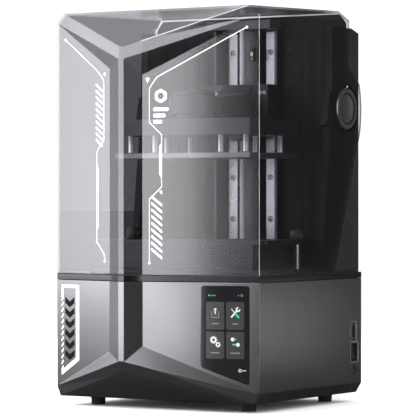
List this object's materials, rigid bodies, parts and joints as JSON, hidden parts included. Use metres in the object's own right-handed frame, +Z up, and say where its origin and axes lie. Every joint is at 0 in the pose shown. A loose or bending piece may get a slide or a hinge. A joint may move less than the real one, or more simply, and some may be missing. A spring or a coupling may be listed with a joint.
{
  "type": "resin printer",
  "caption": "Desktop resin printer: faceted grey base with a slanted touch screen, tilting resin vat, twin-rail Z axis with build plate, and a transparent lid that swings up and back.",
  "frame": {"origin": "bottom centre of the bounding box, on the plane that the feet rest on", "axes": "+X to the printer's right (the side with the ports), +Y to its back, +Z up; the spine and the touch screen face -Y"},
  "size_m": [0.327, 0.329, 0.551],
  "materials": {
    "shell": "satin gunmetal grey with a fine metallic grain",
    "deck": "satin near-black",
    "housing": "fine moulded grain, dark grey",
    "black": "moulded black plastic",
    "rubber": "matte rubber",
    "screen_glass": "polished black glass",
    "smoke_clear": "transparent smoke-tinted acrylic",
    "steel": "ground steel",
    "aluminium": "brushed aluminium",
    "anodised": "dark grey anodised aluminium",
    "board": "solder-masked circuit board",
    "film": "clear film",
    "brass": "machined bronze"
  },
  "bodies": {
    "base": {"base_shell": "shell", "bottom_plate": "anodised", "control_board": "board", "display_module": "black", "fan_frame": "black", "foot_front_left": "rubber", "foot_front_right": "rubber", "foot_rear_left": "rubber", "foot_rear_right": "rubber", "hinge_pin_left": "steel", "hinge_pin_right": "steel", "lamp_array": "film", "lamp_heatsink": "aluminium", "light_hood": "black", "masking_screen": "screen_glass", "power_inlet": "black", "rear_cover": "housing", "rear_housing": "housing", "switch_bezel": "black", "tilt_motor": "black", "tilt_pin": "steel", "top_bearing_block": "anodised", "top_deck": "deck", "touch_screen": "screen_glass", "usb_socket": "black", "z_column": "anodised", "z_motor": "black", "z_rail_left": "steel", "z_rail_right": "steel"},
    "lid": {"lid": "smoke_clear", "hinge_hub_left": "housing", "hinge_hub_right": "housing"},
    "z_carriage": {"carriage_left": "steel", "carriage_right": "steel", "screw_nut": "brass", "z_arm": "anodised", "plate_head": "anodised", "build_plate": "aluminium", "plate_drum": "anodised", "plate_post_1": "steel", "plate_post_2": "steel", "plate_post_3": "steel", "plate_post_4": "steel", "plate_post_5": "steel", "plate_post_6": "steel", "plate_post_7": "steel", "plate_post_8": "steel"},
    "lock_cap": {"plate_lock_cap": "black"},
    "z_screw": {"ball_screw": "steel", "screw_coupling": "aluminium"},
    "vat_tray": {"vat_holder": "aluminium", "resin_vat": "anodised", "film_frame": "aluminium", "release_film": "film"},
    "knob_left": {"vat_knob_left": "black"},
    "knob_right": {"vat_knob_right": "black"},
    "cam": {"tilt_cam": "steel"},
    "fan": {"fan_rotor": "black"},
    "rocker": {"power_rocker": "black"}
  },
  "joints": [
    {"name": "lid_hinge", "type": "hinge", "parent": "base", "child": "lid", "pos_m": [0, 0.1235, 0.4134], "axis": [-1, 0, 0], "range_deg": [0, 88]},
    {"name": "z_slide", "type": "slide", "parent": "base", "child": "z_carriage", "axis": [0, 0, 1], "range_m": [-0.1585, 0.062]},
    {"name": "screw_spin", "type": "hinge", "parent": "base", "child": "z_screw", "pos_m": [0, 0.108, 0.35], "axis": [0, 0, 1], "range_deg": [-2800, 7140]},
    {"name": "plate_lock_turn", "type": "hinge", "parent": "z_carriage", "child": "lock_cap", "pos_m": [0, -0.021, 0.434], "axis": [0, 0, 1], "range_deg": [0, 90]},
    {"name": "vat_tilt", "type": "hinge", "parent": "base", "child": "vat_tray", "pos_m": [-0.141, 0.008, 0.1788], "axis": [0, -1, 0], "range_deg": [0, 1.6]},
    {"name": "cam_turn", "type": "hinge", "parent": "base", "child": "cam", "pos_m": [0.136, -0.05, 0.1663], "axis": [0, -1, 0], "range_deg": [-1, 181]},
    {"name": "knob_left_turn", "type": "hinge", "parent": "vat_tray", "child": "knob_left", "pos_m": [-0.135, 0.03, 0.235], "axis": [0, 0, 1], "range_deg": [0, 720]},
    {"name": "knob_right_turn", "type": "hinge", "parent": "vat_tray", "child": "knob_right", "pos_m": [0.135, 0.03, 0.235], "axis": [0, 0, 1], "range_deg": [0, 720]},
    {"name": "fan_spin", "type": "hinge", "parent": "base", "child": "fan", "pos_m": [-0.078, 0.143, 0.095], "axis": [0, 1, 0], "continuous": true},
    {"name": "power_switch", "type": "hinge", "parent": "base", "child": "rocker", "pos_m": [0.1575, 0.1436, 0.07055], "axis": [0, 1, 0], "range_deg": [0, 16]}
  ],
  "couplings": [
    {"joint": "screw_spin", "follows": "z_slide", "rad_per_m": -785.4},
    {"joint": "cam_turn", "follows": "vat_tilt", "ratio": 112.5}
  ]
}
